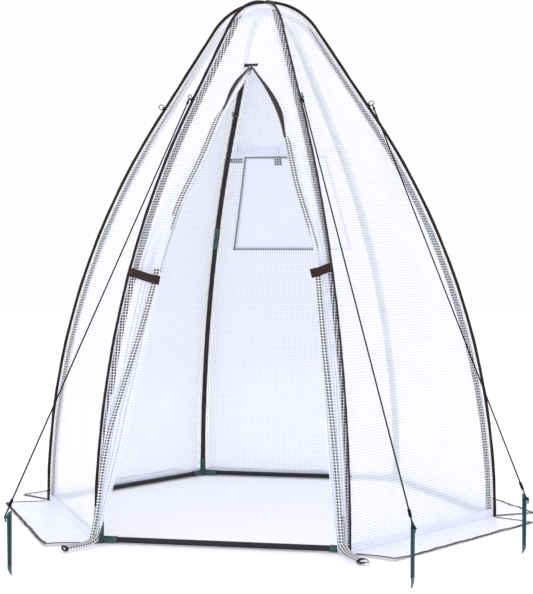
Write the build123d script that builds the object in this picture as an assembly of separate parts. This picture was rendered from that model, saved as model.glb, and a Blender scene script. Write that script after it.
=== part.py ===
from build123d import *
import os
from math import asin, atan, atan2, cos, degrees, pi, radians, sin, sqrt, tan

# Mini walk-up greenhouse: a six-sided pointed cover on a push-fit tube frame.
# Millimetres, +Z up, the floor at z = 0, the zipped door side facing -Y.
# Each side is drawn with its outward direction along +X and then turned about Z.
# Each rib is drawn in the XZ plane, where x is the distance from the centre.

os.makedirs("parts", exist_ok=True)

# ---- plan ----
SIDES = 6
SECTOR = 360 / SIDES
HALF = radians(SECTOR / 2)
COVER_R = 700.0  # centre to a cover corner at the floor
COVER_A = COVER_R * cos(HALF)  # centre to the middle of a side at the floor
FRONT = -90  # direction the door side faces, degrees
RIB_ANGLES = [FRONT - SECTOR / 2 - SECTOR * i for i in range(SIDES)]

# ---- cover, seen from the side ----
FILM_T = 1.0
SIDE_BEND_R = 2436.3  # the slow bend from the floor to the roof
ROOF_TILT = radians(30)  # lean of the straight roof
CROWN_R = 150.5  # the tight bend over the top
TIP = 8.0  # the sides stop this far from the centre, under the crown patch
SEAM_GAP = 0.1

# ---- tube frame ----
TUBE_R = 8.0
TUBE_WALL = 1.0
SOCKET_R = 9.5  # outside of every socket and sleeve
SOCKET_FIT = 0.05
SOCKET_LEN = 48.0
TUBE_BACK = 12.0  # a tube's end from the middle of its corner fitting
FRAME_R = 685.0  # centre to the middle of a corner fitting
RIB_BEND_R = 2141.8
RIB_TILT = atan(tan(ROOF_TILT) / cos(HALF))
RIB_CROWN_R = 184.0
HUB_TILT = radians(75)
HUB_TUBE_END_R = 24.0
HUB_SOCKET_START_R = 8.0
HUB_BODY_R = 22.0
HUB_BODY_H = 24.0
BALL_R = 11.0  # the round middle of a corner fitting
FOOT_R = 11.5
FOOT_H = 6.0
BASE_LIFT = 0.5  # the sockets clear the floor by this much
SLEEVE_Z = 840.0
SLEEVE_LEN = 75.0
BUTT_GAP = 0.5

# ---- seam bindings, loops and ties on the ribs ----
BINDING_T = 2.5
BINDING_W = 9.0
BINDING_FOOT_R = COVER_R + 0.3
BINDING_OFFSET = 946.0  # distance of the roof's binding line from the origin
BINDING_TOP_Z = 1554.65
BINDING_TIP_R = 4.0
LOOP_Z = 1240.0
LOOP_R = 8.5
LOOP_HOLE_R = 6.0
LOOP_MID_R = (LOOP_R + LOOP_HOLE_R) / 2
LOOP_T = 2.4
TIE_BAND_R = 9.2
TIE_BAND_H = 8.0

# ---- skirts ----
SKIRT_IN = COVER_A + 2.0
SKIRT_W = 140.0
SKIRT_HALF = 345.0
SKIRT_T = 1.0

# ---- door ----
ZIP_TOP_Z = 1338.0
LEAF_TOP_Z = 742.0
# The opening's free edges above the straps: height and distance from the middle.
LEFT_EDGE = [(1282, 37), (1245, 48), (1200, 66), (1067, 104), (938, 155), (803, 186)]
RIGHT_EDGE = [(1258, 60), (1182, 102), (1123, 122), (984, 162), (900, 195), (803, 232)]
UPPER_LOW_Z = 765.0  # the upper part of each leaf stops here, above its gathered part
UPPER_GAP = 1.0
# Each leaf is gathered: height, rib-side x, free-edge x, gap to the cover, two thicknesses.
LEFT_LEAF = [
    (LEAF_TOP_Z, 272, 194, 3.5, 8, 24),
    (558, 303, 218, 4, 12, 26),
    (288, 330, 267, 4, 16, 28),
    (100, 341, 316, 4, 22, 30),
    (8, 346, 328, 5, 26, 30),
]
RIGHT_LEAF = [
    (LEAF_TOP_Z, 274, 243, 3.5, 8, 24),
    (459, 317, 272, 4, 14, 28),
    (250, 334, 292, 4, 20, 30),
    (100, 342, 308, 4, 22, 30),
    (8, 346, 322, 5, 26, 30),
]
LEAF_LIFT = 8.0
TAIL_H = 12.0
TAIL_OUT = [(416.4, -717.2), (379.6, -744.8)]
STRAP_H = 25.0
STRAP_T = 2.5
STRAP_START = (283.5, -505.0)
# Each strap: height at its start, where it ends, and its slope in degrees.
LEFT_STRAP = (742.0, (188.0, -537.5), 12.5)
RIGHT_STRAP = (757.0, (233.0, -534.5), 16.0)

# ---- zip slider, its pull, and the patch over the top of the zip ----
SLIDER_Z = 1330.0
SLIDER_L = 16.0
SLIDER_W = 10.0
SLIDER_H = 5.0
SLIDER_LIFT = 1.5
PIN_LIFT = 9.4
PIN_R = 1.0
PULL_EYE_R = 2.5
PULL_T = 1.4
PULL_RING_R = 6.0
PULL_HOLE_R = 3.8
PULL_REACH = 20.0

# ---- window in the back side ----
WINDOW = [(-190, 810), (190, 810), (125, 1100), (-125, 1100)]
SCREEN = [(-205, 798), (205, 798), (137, 1110), (-137, 1110)]
FLAP = [(-207, 795), (207, 795), (137, 1108), (-137, 1108)]
BAND = [(-172, 1112), (172, 1112), (158, 1145), (-158, 1145)]
WINDOW_TIE_X = (155, 20)
WINDOW_TIE_W = 12.0

# ---- guy ropes and stakes ----
ROPE_R = 2.0
EYE_R = 4.5
EYE_WIRE_R = 1.25
STAKE_L = 160.0
STAKE_W = 16.0
STAKE_T = 3.0
STAKE_POINT = 18.0
HOOK_X = 14.0
HOOK_Z = 147.0
HOOK_EYE_R = 3.6
HOOK_WIRE_R = 1.2
HOOK_SIDE = 3.8  # the rope passes this far beside the middle of the hook
KNOT_R = 4.0
KNOT_L = 24.0
KNOT_BACK = 28.0
# Rib that each rope leaves, and where its stake's hook stands on the floor plan.
ROPES = {
    "left": (0, (-445.0, -1035.0)),
    "front": (5, (557.0, -973.0)),
    "right": (4, (812.0, -527.0)),
}

REACH = 900.0
TALL = 1700.0


def save(shape, name):
    export_step(shape, f"parts/{name}.step")


def turned(shape, angle):
    return shape.rotate(Axis.Z, angle)


def bend_chain(foot, bend_r, tilt, crown_r, crown_z, last):
    """A bend up from the floor, the straight roof and the crown bend, as three edges."""

    def low(t):
        return (foot - bend_r + bend_r * cos(t), bend_r * sin(t))

    def high(t):
        return (crown_r * cos(t), crown_z + crown_r * sin(t))

    return [
        ThreePointArc(low(0), low(tilt / 2), low(tilt)),
        Line(low(tilt), high(tilt)),
        ThreePointArc(high(tilt), high((tilt + last) / 2), high(last)),
    ]


def closed_face(first, second):
    """The face between two edge chains that run the same way."""
    ends = [
        Line(first[0] @ 0, second[0] @ 0),
        Line(first[-1] @ 1, second[-1] @ 1),
    ]
    return make_face(first + second + ends)


# The cover's crown is centred where the straight roof stays tangent to it.
CROWN_Z = ((COVER_A - SIDE_BEND_R) * cos(ROOF_TILT) + SIDE_BEND_R - CROWN_R) / sin(ROOF_TILT)
RIB_CROWN_Z = ((FRAME_R - RIB_BEND_R) * cos(RIB_TILT) + RIB_BEND_R - RIB_CROWN_R) / sin(RIB_TILT)


def cover_a(z):
    """Centre to the cover's outer face, in the middle of a side, at height z."""
    bend_top = SIDE_BEND_R * sin(ROOF_TILT)
    if z <= bend_top:
        return COVER_A - SIDE_BEND_R + sqrt(SIDE_BEND_R**2 - z**2)
    at_top = COVER_A - SIDE_BEND_R + SIDE_BEND_R * cos(ROOF_TILT)
    return at_top - (z - bend_top) * tan(ROOF_TILT)


def side_sheet(depth, thickness, half_width):
    """A sheet that follows a side's curve, with its outer face depth inside the cover's."""
    faces = [
        bend_chain(COVER_A - d, SIDE_BEND_R - d, ROOF_TILT, CROWN_R - d, CROWN_Z, pi / 2)
        for d in (depth, depth + thickness)
    ]
    return extrude(Plane.XZ * closed_face(*faces), amount=half_width, both=True)


def side_outline(points):
    """A prism along a side's outward direction, from its outline in (y, z)."""
    return extrude(Plane.YZ * make_face(Polyline(*points, close=True)), amount=REACH)


def side_sector():
    """The share of the plan that one side covers."""

    def edge(x):
        return x * tan(HALF) - SEAM_GAP

    plan = [(TIP, edge(TIP)), (REACH, edge(REACH)), (REACH, -edge(REACH)), (TIP, -edge(TIP))]
    return extrude(make_face(Polyline(*plan, close=True)), amount=TALL)


# ---- cover sides ----
side = side_sheet(0, FILM_T, COVER_R) & side_sector()
SIDE_NAMES = {
    "front": FRONT,
    "front_right": FRONT + SECTOR,
    "back_right": FRONT + 2 * SECTOR,
    "back": FRONT + 3 * SECTOR,
    "back_left": FRONT + 4 * SECTOR,
    "front_left": FRONT + 5 * SECTOR,
}
for name, angle in SIDE_NAMES.items():
    panel = side
    if name == "front":
        top = [(-REACH, ZIP_TOP_Z), (REACH, ZIP_TOP_Z), (REACH, TALL), (-REACH, TALL)]
        panel = side & side_outline(top)
    if name == "back":
        panel = side - side_outline(WINDOW)
    save(turned(panel, angle), f"cover_{name}")



def upper_leaf(edge, free):
    """The flat part of a leaf between the rib's seam and the zip, on the +X side."""
    low_x = free + (edge[-1][1] - free) * (UPPER_LOW_Z - LEAF_TOP_Z) / (edge[-1][0] - LEAF_TOP_Z)
    seam = [ZIP_TOP_Z - UPPER_GAP, 1200, 1060, 910, UPPER_LOW_Z]
    rib_side = [(cover_a(z) * tan(HALF) - 1.5, z) for z in reversed(seam)]
    free_side = [(1.0, ZIP_TOP_Z - UPPER_GAP)] + [(x, z) for z, x in edge] + [(low_x, UPPER_LOW_Z)]
    return side & side_outline(free_side + rib_side)


upper_left = turned(upper_leaf(LEFT_EDGE, LEFT_LEAF[0][2]), FRONT)
upper_right = turned(upper_leaf(RIGHT_EDGE, RIGHT_LEAF[0][2]), FRONT)
save(upper_left.mirror(Plane.YZ), "door_upper_left")
save(upper_right, "door_upper_right")

crown_patch = Pos(0, 0, CROWN_Z + CROWN_R + 0.8) * Cylinder(16, 1.2)
save(crown_patch, "crown_patch")

# ---- skirts, lying on the floor around every side but the door's ----
skirt = Pos(SKIRT_IN, 0, 0) * Box(
    SKIRT_W, 2 * SKIRT_HALF, SKIRT_T, align=(Align.MIN, Align.CENTER, Align.MIN)
)
for name, angle in SIDE_NAMES.items():
    if name != "front":
        save(turned(skirt, angle), f"skirt_{name}")


# ---- ribs and base tubes ----
def rib_bend(t):
    """A point of the rib's centreline on its slow bend, t radians up from the floor."""
    return Vector(FRAME_R - RIB_BEND_R + RIB_BEND_R * cos(t), 0, RIB_BEND_R * sin(t))


def rib_crown(t):
    return Vector(RIB_CROWN_R * cos(t), 0, RIB_CROWN_Z + RIB_CROWN_R * sin(t))


def rib_arc(t0, t1):
    return ThreePointArc(rib_bend(t0), rib_bend((t0 + t1) / 2), rib_bend(t1))


def swept(path, outer, inner=0):
    start = Plane(origin=path @ 0, z_dir=path % 0)
    ring = Circle(outer) - Circle(inner) if inner else Circle(outer)
    return sweep(start * ring, path=path)


def to_hub(r):
    """A point of the straight stretch that enters the hub, at distance r from the centre."""
    end = rib_crown(HUB_TILT)
    return Vector(r, 0, end.Z + (end.X - r) / tan(HUB_TILT))


base_z = SOCKET_R + BASE_LIFT
bend_foot = base_z / RIB_BEND_R
bend_sleeve = asin(SLEEVE_Z / RIB_BEND_R)
half_gap = BUTT_GAP / 2 / RIB_BEND_R
half_sleeve = SLEEVE_LEN / 2 / RIB_BEND_R

lower_path = rib_arc(bend_foot + (TUBE_BACK + 0.3) / RIB_BEND_R, bend_sleeve - half_gap)
upper_path = Wire(
    [
        rib_arc(bend_sleeve + half_gap, RIB_TILT),
        Line(rib_bend(RIB_TILT), rib_crown(RIB_TILT)),
        ThreePointArc(
            rib_crown(RIB_TILT), rib_crown((RIB_TILT + HUB_TILT) / 2), rib_crown(HUB_TILT)
        ),
        Line(rib_crown(HUB_TILT), to_hub(HUB_TUBE_END_R)),
    ]
)
sleeve_path = rib_arc(bend_sleeve - half_sleeve, bend_sleeve + half_sleeve)
rib_lower = swept(lower_path, TUBE_R, TUBE_R - TUBE_WALL)
rib_upper = swept(upper_path, TUBE_R, TUBE_R - TUBE_WALL)
sleeve = swept(sleeve_path, SOCKET_R, TUBE_R + SOCKET_FIT)

# A corner fitting has an arm up the rib and an arm along each base tube.
corner = Vector(FRAME_R, 0, base_z)
above_floor = Pos(FRAME_R, 0, 0) * Box(
    4 * BALL_R, 4 * BALL_R, 4 * BALL_R, align=(Align.CENTER, Align.CENTER, Align.MIN)
)
ball = Pos(corner) * Sphere(BALL_R) & above_floor
foot = Pos(FRAME_R, 0, 0) * Cylinder(
    FOOT_R, FOOT_H, align=(Align.CENTER, Align.CENTER, Align.MIN)
)
arm_end = bend_foot + SOCKET_LEN / RIB_BEND_R
arm_back = bend_foot + TUBE_BACK / RIB_BEND_R
arms = [rib_arc(bend_foot, arm_end)]
bores = [rib_arc(arm_back, arm_end)]
for heading in (180 - SECTOR, 180 + SECTOR):
    along = Vector(cos(radians(heading)), sin(radians(heading)), 0)
    arms.append(Line(corner, corner + along * SOCKET_LEN))
    bores.append(Line(corner + along * TUBE_BACK, corner + along * SOCKET_LEN))
fitting = foot + [ball] + [swept(arm, SOCKET_R) for arm in arms]
fitting -= [swept(bore, TUBE_R + SOCKET_FIT) for bore in bores]

for i, angle in enumerate(RIB_ANGLES):
    save(turned(rib_lower, angle), f"rib_lower_{i + 1}")
    save(turned(rib_upper, angle), f"rib_upper_{i + 1}")
    save(turned(fitting, angle), f"corner_fitting_{i + 1}")
save(Compound([turned(sleeve, a) for a in RIB_ANGLES]), "rib_sleeves")

tube_half = FRAME_R / 2 - TUBE_BACK - 0.3
base_x = FRAME_R * cos(HALF)
base_path = Line((base_x, -tube_half, base_z), (base_x, tube_half, base_z))
base_tube = swept(base_path, TUBE_R, TUBE_R - TUBE_WALL)
for i, angle in enumerate(SIDE_NAMES.values()):
    save(turned(base_tube, angle), f"base_tube_{i + 1}")

# The hub takes all six ribs.
hub_socket_end = rib_crown(HUB_TILT).X
hub = Pos(0, 0, to_hub(0).Z - HUB_BODY_H / 4) * Cylinder(HUB_BODY_R, HUB_BODY_H * 0.8)
hub_arm = swept(Line(to_hub(HUB_SOCKET_START_R), to_hub(hub_socket_end)), SOCKET_R)
hub_bore = swept(Line(to_hub(HUB_TUBE_END_R - 0.5), to_hub(hub_socket_end)), TUBE_R + SOCKET_FIT)
hub += [turned(hub_arm, angle) for angle in RIB_ANGLES]
hub -= [turned(hub_bore, angle) for angle in RIB_ANGLES]
save(hub, "hub")

# ---- seam bindings: a folded tape standing out along every seam ----
across, up = cos(RIB_TILT), sin(RIB_TILT)
binding_bend_r = (BINDING_OFFSET - BINDING_FOOT_R * across) / (1 - across)
binding_crown_r = (BINDING_OFFSET / up - BINDING_TOP_Z) / (1 / up - 1)
binding_crown_z = BINDING_TOP_Z - binding_crown_r
edges = []
for w in (0, BINDING_W):
    last = pi / 2 - asin(BINDING_TIP_R / (binding_crown_r + w))
    edges.append(
        bend_chain(
            BINDING_FOOT_R + w,
            binding_bend_r + w,
            RIB_TILT,
            binding_crown_r + w,
            binding_crown_z,
            last,
        )
    )
binding = extrude(Plane.XZ * closed_face(*edges), amount=BINDING_T / 2, both=True)
save(Compound([turned(binding, a) for a in RIB_ANGLES]), "seam_bindings")


# ---- rope loops outside and frame ties inside, one of each per rib ----
def on_roof(offset, z):
    """The point at height z on the roof line that lies offset from the origin."""
    s = (z - offset * up) / across
    return Vector(offset * across - s * up, 0, z)


loop_edge = BINDING_OFFSET + BINDING_W
roof_up = Vector(-up, 0, across)
roof_out = Vector(across, 0, up)


def roof_frame(offset, z):
    """A placement at that point: x runs out of the cover, y along the seam, z across it."""
    return Plane(origin=on_roof(offset, z), x_dir=roof_out, z_dir=roof_out.cross(roof_up))


loop_out = LOOP_R + 0.5
loop_at = roof_frame(loop_edge, LOOP_Z)
ring = Pos(loop_out, 0, 0) * (Cylinder(LOOP_R, LOOP_T) - Cylinder(LOOP_HOLE_R, LOOP_T))
clasp = Pos(-1.75, 0, 0) * Box(8.5, 12, 4.4)
clasp -= Pos(-3.25, 0, 0) * Box(7, 14, BINDING_T + 0.1)
guy_loop = loop_at * (ring + clasp)
save(Compound([turned(guy_loop, a) for a in RIB_ANGLES]), "guy_loops")

rib_line = (FRAME_R - RIB_BEND_R) * across + RIB_BEND_R
tie_at = roof_frame(rib_line, LOOP_Z)
tie_band = Rot(90, 0, 0) * (
    Cylinder(TIE_BAND_R, TIE_BAND_H) - Cylinder(TUBE_R + SOCKET_FIT, TIE_BAND_H)
)
tie_tab = Pos(TIE_BAND_R + 0.9, 0, 0) * Box(2.2, TIE_BAND_H, 3)
frame_tie = tie_at * (tie_band + tie_tab)
save(Compound([turned(frame_tie, a) for a in RIB_ANGLES]), "frame_ties")


# ---- door leaves, tied back ----
def leaf_section(z, rib_x, free_x, gap, rib_t, free_t):
    y = -cover_a(z) - gap
    corners = [(rib_x, y), (free_x, y), (free_x, y - free_t), (rib_x, y - rib_t)]
    return Plane.XY.offset(z) * make_face(Polyline(*corners, close=True))


def door_leaf(sections):
    """A gathered leaf on the +X side, ending in a tail that lies out along the floor."""
    body = loft([leaf_section(*s) for s in reversed(sections)], ruled=True)
    z, rib_x, free_x, gap, rib_t, free_t = sections[-1]
    y = -cover_a(z) - gap
    plan = [(rib_x, y - 3), *TAIL_OUT, (free_x, y - free_t + 2), (free_x, y - 3)]
    tail = extrude(Plane.XY.offset(LEAF_LIFT) * make_face(Polyline(*plan, close=True)), amount=TAIL_H)
    return body + tail


def door_strap(start_z, end, drop):
    """A flat strap from the rib's seam across the front of the leaf on the +X side."""
    x0, y0 = STRAP_START
    x1, y1 = end
    length = sqrt((x1 - x0) ** 2 + (y1 - y0) ** 2) / cos(radians(drop))
    heading = degrees(atan((y1 - y0) / (x1 - x0)))
    band = Box(length, STRAP_T, STRAP_H, align=(Align.MAX, Align.CENTER, Align.CENTER))
    return Pos(x0, y0, start_z) * Rot(0, 0, heading) * Rot(0, -drop, 0) * band


save(door_leaf(LEFT_LEAF).mirror(Plane.YZ), "door_leaf_left")
save(door_leaf(RIGHT_LEAF), "door_leaf_right")
save(door_strap(*LEFT_STRAP).mirror(Plane.YZ), "door_tie_left")
save(door_strap(*RIGHT_STRAP), "door_tie_right")

# ---- zip slider and pull, drawn on the +X side's roof ----
slope_out = Vector(cos(ROOF_TILT), 0, sin(ROOF_TILT))
slope_down = Vector(sin(ROOF_TILT), 0, -cos(ROOF_TILT))


def slope_frame(z):
    """x across the side, y down the roof, z out of it."""
    at = Vector(cover_a(z), 0, z)
    return Plane(origin=at, x_dir=slope_down.cross(slope_out), z_dir=slope_out)


slider_at = slope_frame(SLIDER_Z)
slider = Pos(0, 0, SLIDER_LIFT + SLIDER_H / 2) * Box(SLIDER_W, SLIDER_L, SLIDER_H)
for x in (-3.4, 3.4):
    slider += Pos(x, 0, 9) * Box(1.6, 5, 5)
slider += Pos(0, 0, PIN_LIFT) * Rot(0, 90, 0) * Cylinder(PIN_R, 7)
save(turned(slider_at * slider, FRONT), "zip_slider")

pull = Pos(0, 8, PIN_LIFT) * Box(3, 14, PULL_T)
pull += Pos(0, PULL_REACH, PIN_LIFT) * Cylinder(PULL_RING_R, PULL_T)
pull -= Pos(0, PULL_REACH, PIN_LIFT) * Cylinder(PULL_HOLE_R, PULL_T)
pull += Pos(0, 0, PIN_LIFT) * Rot(0, 90, 0) * Cylinder(PULL_EYE_R, 4.6)
pull -= Pos(0, 0, PIN_LIFT) * Rot(0, 90, 0) * Cylinder(PIN_R + SOCKET_FIT, 6)
save(turned(slider_at * pull, FRONT), "zip_pull")

patch = slope_frame(ZIP_TOP_Z + 9) * (Pos(0, 0, 0.9) * Box(40, 10, 1.2))
save(turned(patch, FRONT), "zip_top_patch")

# ---- window: insect screen inside, flap and band outside, ties on the band ----
back = SIDE_NAMES["back"]
screen = side_sheet(FILM_T + 0.4, 1.0, COVER_R) & side_outline(SCREEN)
save(turned(screen, back), "window_screen")
flap = side_sheet(-3.0, 1.0, COVER_R) & side_outline(FLAP)
save(turned(flap, back), "window_flap")
band = side_sheet(-1.4, 1.0, COVER_R) & side_outline(BAND)
save(turned(band, back), "window_band")
tie_sheet = side_sheet(-2.8, 1.2, COVER_R)
tie_low = BAND[0][1] + 2
tie_high = BAND[2][1] - 2
ties = []
for x in WINDOW_TIE_X:
    left = x - WINDOW_TIE_W / 2
    right = x + WINDOW_TIE_W / 2
    shape = side_outline([(left, tie_low), (right, tie_low), (right, tie_high), (left, tie_high)])
    ties.append(turned(tie_sheet & shape, back))
save(Compound(ties), "window_ties")


# ---- stakes and guy ropes ----
def stake():
    """A flat peg in the XZ plane, point down, with its hook on the +X side."""
    w = STAKE_W / 2
    hook = (HOOK_X - 1.5, HOOK_X + 1.5)
    top = HOOK_Z + 2
    outline = [
        (-w, STAKE_L),
        (0, STAKE_L),
        (w, top + 4),
        (hook[1], top + 4),
        (hook[1], HOOK_Z - 11),
        (hook[0], HOOK_Z - 11),
        (hook[0], top),
        (w - 0.5, top),
        (w - 2, STAKE_POINT),
        (-w + 2, 0),
    ]
    blade = extrude(Plane.XZ * make_face(Polyline(*outline, close=True)), amount=STAKE_T / 2, both=True)
    rib = Pos(0, 0, STAKE_L / 2 + 8) * Box(2.5, STAKE_T + 7, STAKE_L - 36)
    return blade + rib


def ring_at(centre, axis, ring_r, wire_r):
    return Plane(origin=centre, z_dir=axis) * Torus(ring_r, wire_r)


peg = stake()
for name, (rib, spot) in ROPES.items():
    angle = RIB_ANGLES[rib]
    eye = on_roof(loop_edge, LOOP_Z) + roof_out * loop_out - roof_up * LOOP_MID_R
    start = eye.rotate(Axis.Z, angle)
    hook = Vector(spot[0], spot[1], HOOK_Z)
    plan = Vector(hook.X - start.X, hook.Y - start.Y, 0).normalized()
    rope_to = hook + plan.cross(Vector(0, 0, 1)) * HOOK_SIDE
    away = (rope_to - start).normalized()
    rope_from = start + away * EYE_R
    knot_to = rope_to - away * KNOT_BACK
    rope = swept(Line(rope_from, rope_to), ROPE_R)
    rope += swept(Line(knot_to - away * KNOT_L, knot_to), KNOT_R)
    rope += ring_at(start, roof_out.rotate(Axis.Z, angle), EYE_R, EYE_WIRE_R)
    rope += ring_at(hook, (0, 0, 1), HOOK_EYE_R, HOOK_WIRE_R)
    heading = degrees(atan2(plan.Y, plan.X))
    placed = Pos(spot[0], spot[1], 0) * Rot(0, 0, heading) * Pos(-HOOK_X, 0, 0) * peg
    save(rope, f"guy_rope_{name}")
    save(placed, f"stake_{name}")
    length = (rope_to - rope_from).length
    print(name, "from", rope_from, "to", rope_to, "length", round(length, 1), "volume", round(rope.volume))
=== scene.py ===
import bpy
import math
from math import cos, pi, radians, sin, sqrt, tan
from mathutils import Matrix, Vector


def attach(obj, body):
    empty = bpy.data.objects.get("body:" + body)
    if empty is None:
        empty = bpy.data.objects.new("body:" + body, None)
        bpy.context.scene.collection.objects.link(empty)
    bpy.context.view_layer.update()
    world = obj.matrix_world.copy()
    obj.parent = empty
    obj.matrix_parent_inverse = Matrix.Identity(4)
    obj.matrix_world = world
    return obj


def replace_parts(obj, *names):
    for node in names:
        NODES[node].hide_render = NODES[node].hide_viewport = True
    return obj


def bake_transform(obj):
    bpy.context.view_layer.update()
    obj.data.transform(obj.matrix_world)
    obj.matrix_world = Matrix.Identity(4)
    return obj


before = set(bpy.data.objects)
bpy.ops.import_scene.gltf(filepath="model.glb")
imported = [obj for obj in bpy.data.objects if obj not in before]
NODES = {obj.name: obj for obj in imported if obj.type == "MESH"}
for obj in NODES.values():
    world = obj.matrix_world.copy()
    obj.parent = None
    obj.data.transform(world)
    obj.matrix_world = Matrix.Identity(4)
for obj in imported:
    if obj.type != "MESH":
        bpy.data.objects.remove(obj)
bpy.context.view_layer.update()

scene = bpy.context.scene

# -------------------- camera
cam_data = bpy.data.cameras.new("view")
cam_data.lens = 88.445
cam_data.sensor_width = 36
cam = bpy.data.objects.new("view", cam_data)
scene.collection.objects.link(cam)
cam_right = Vector((0.98093, 0.19434, 0.0))
cam_up = Vector((-0.0073, 0.03687, 0.99929))
cam_back = Vector((0.1942, -0.98024, 0.03759))
turn = Matrix((cam_right, cam_up, cam_back)).transposed().to_4x4()
cam.matrix_world = Matrix.Translation((0.8791, -4.4117, 0.8252)) @ turn
scene.camera = cam


# -------------------- meshes
def add_object(name, data):
    obj = bpy.data.objects.new(name, data)
    scene.collection.objects.link(obj)
    return obj


def mesh(name, verts, faces, uvs, rounded=True):
    data = bpy.data.meshes.new(name)
    data.from_pydata([tuple(v) for v in verts], [], faces)
    data.update()
    layer = data.uv_layers.new(name="UVMap")
    for loop in data.loops:
        layer.data[loop.index].uv = uvs[loop.vertex_index]
    for p in data.polygons:
        p.use_smooth = rounded
    return add_object(name, data)


def metre_uvs(rows):
    """UVs in metres: across each row, and along the middle of the rows."""
    middle = len(rows[0]) // 2
    along = 0.0
    uvs = []
    for i, row in enumerate(rows):
        if i:
            along += (row[middle] - rows[i - 1][middle]).length
        across = 0.0
        for j, p in enumerate(row):
            if j:
                across += (p - row[j - 1]).length
            uvs.append((across, along))
    return uvs


def loft(name, rows, uv_rows=None, ring=False, caps=False, skip=None):
    """Rows of points joined by faces, except where skip(row, column) is true."""
    n = len(rows[0])
    faces = []
    last = n if ring else n - 1
    for i in range(len(rows) - 1):
        for j in range(last):
            if skip and skip(i, j):
                continue
            k = (j + 1) % n
            faces.append((i * n + j, i * n + k, (i + 1) * n + k, (i + 1) * n + j))
    if caps:
        faces.append(tuple(reversed(range(n))))
        faces.append(tuple(range((len(rows) - 1) * n, len(rows) * n)))
    uvs = [uv for row in uv_rows for uv in row] if uv_rows else metre_uvs(rows)
    return mesh(name, [p for row in rows for p in row], faces, uvs)


def mark(obj, chosen):
    """Gives the second material to every face whose vertices are all chosen."""
    for p in obj.data.polygons:
        if all(chosen[v] for v in p.vertices):
            p.material_index = 1


def across_from(hint, t):
    """The direction square to t that is nearest to hint."""
    return (hint - t * hint.dot(t)).normalized()


def frames_along(points, hint):
    """For each point: the point, a side direction near hint, and one square to it and the path."""
    out = []
    for i, p in enumerate(points):
        t = (points[min(i + 1, len(points) - 1)] - points[max(i - 1, 0)]).normalized()
        side = across_from(hint, t)
        out.append((p, side, t.cross(side)))
    return out


def tube(name, points, radius, segs=10, hint=Vector((0, 0, 1)), closed=False, flat=1.0):
    """A round bar along points; flat widens it along its side direction."""
    rows = []
    if closed:
        points = points + [points[0]]
    count = len(points)
    for i, (p, side, up) in enumerate(frames_along(points, hint)):
        if closed and i in (0, count - 1):
            t = (points[1] - points[-2]).normalized()
            side = across_from(hint, t)
            up = t.cross(side)
        r = radius(i / (count - 1)) if callable(radius) else radius
        ring = []
        for k in range(segs):
            a = 2 * pi * k / segs
            ring.append(p + side * r * flat * cos(a) + up * r * sin(a))
        rows.append(ring)
    return loft(name, rows, ring=True, caps=not closed)


BEVEL = 0.3


def ribbon(name, centre, wide, out, width, thick):
    """A flat tape with rounded edges: centre points, a width direction and an outward one."""
    rows = []
    for i, p in enumerate(centre):
        w = width(i / (len(centre) - 1)) if callable(width) else width
        a = (wide[i] if isinstance(wide, list) else wide).normalized()
        o = (out[i] if isinstance(out, list) else out).normalized()
        h, t = w / 2, thick / 2
        c = min(BEVEL * thick, h * 0.4)
        ring = [
            (-h, -t + c), (-h + c, -t), (h - c, -t), (h, -t + c),
            (h, t - c), (h - c, t), (-h + c, t), (-h, t - c),
        ]
        rows.append([p + a * x + o * y for x, y in ring])
    return loft(name, rows, ring=True, caps=True)


def join(name, objs):
    """One object from several meshes, keeping materials and UVs."""
    first = objs[0]
    first.name = name
    bpy.ops.object.select_all(action="DESELECT")
    for o in objs:
        o.select_set(True)
    bpy.context.view_layer.objects.active = first
    bpy.ops.object.join()
    first.data.name = name
    return first


def wobble(x, seed):
    """A smooth repeatable wander between about -1 and 1."""
    slow = sin(x + seed * 1.7)
    medium = sin(x * 2.3 + seed * 4.1) * 0.6
    fast = sin(x * 4.7 + seed * 2.9) * 0.3
    return (slow + medium + fast) / 1.9


def smooth(x):
    """An S-curve from 0 to 1."""
    x = min(max(x, 0.0), 1.0)
    return x * x * (3 - 2 * x)


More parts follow.
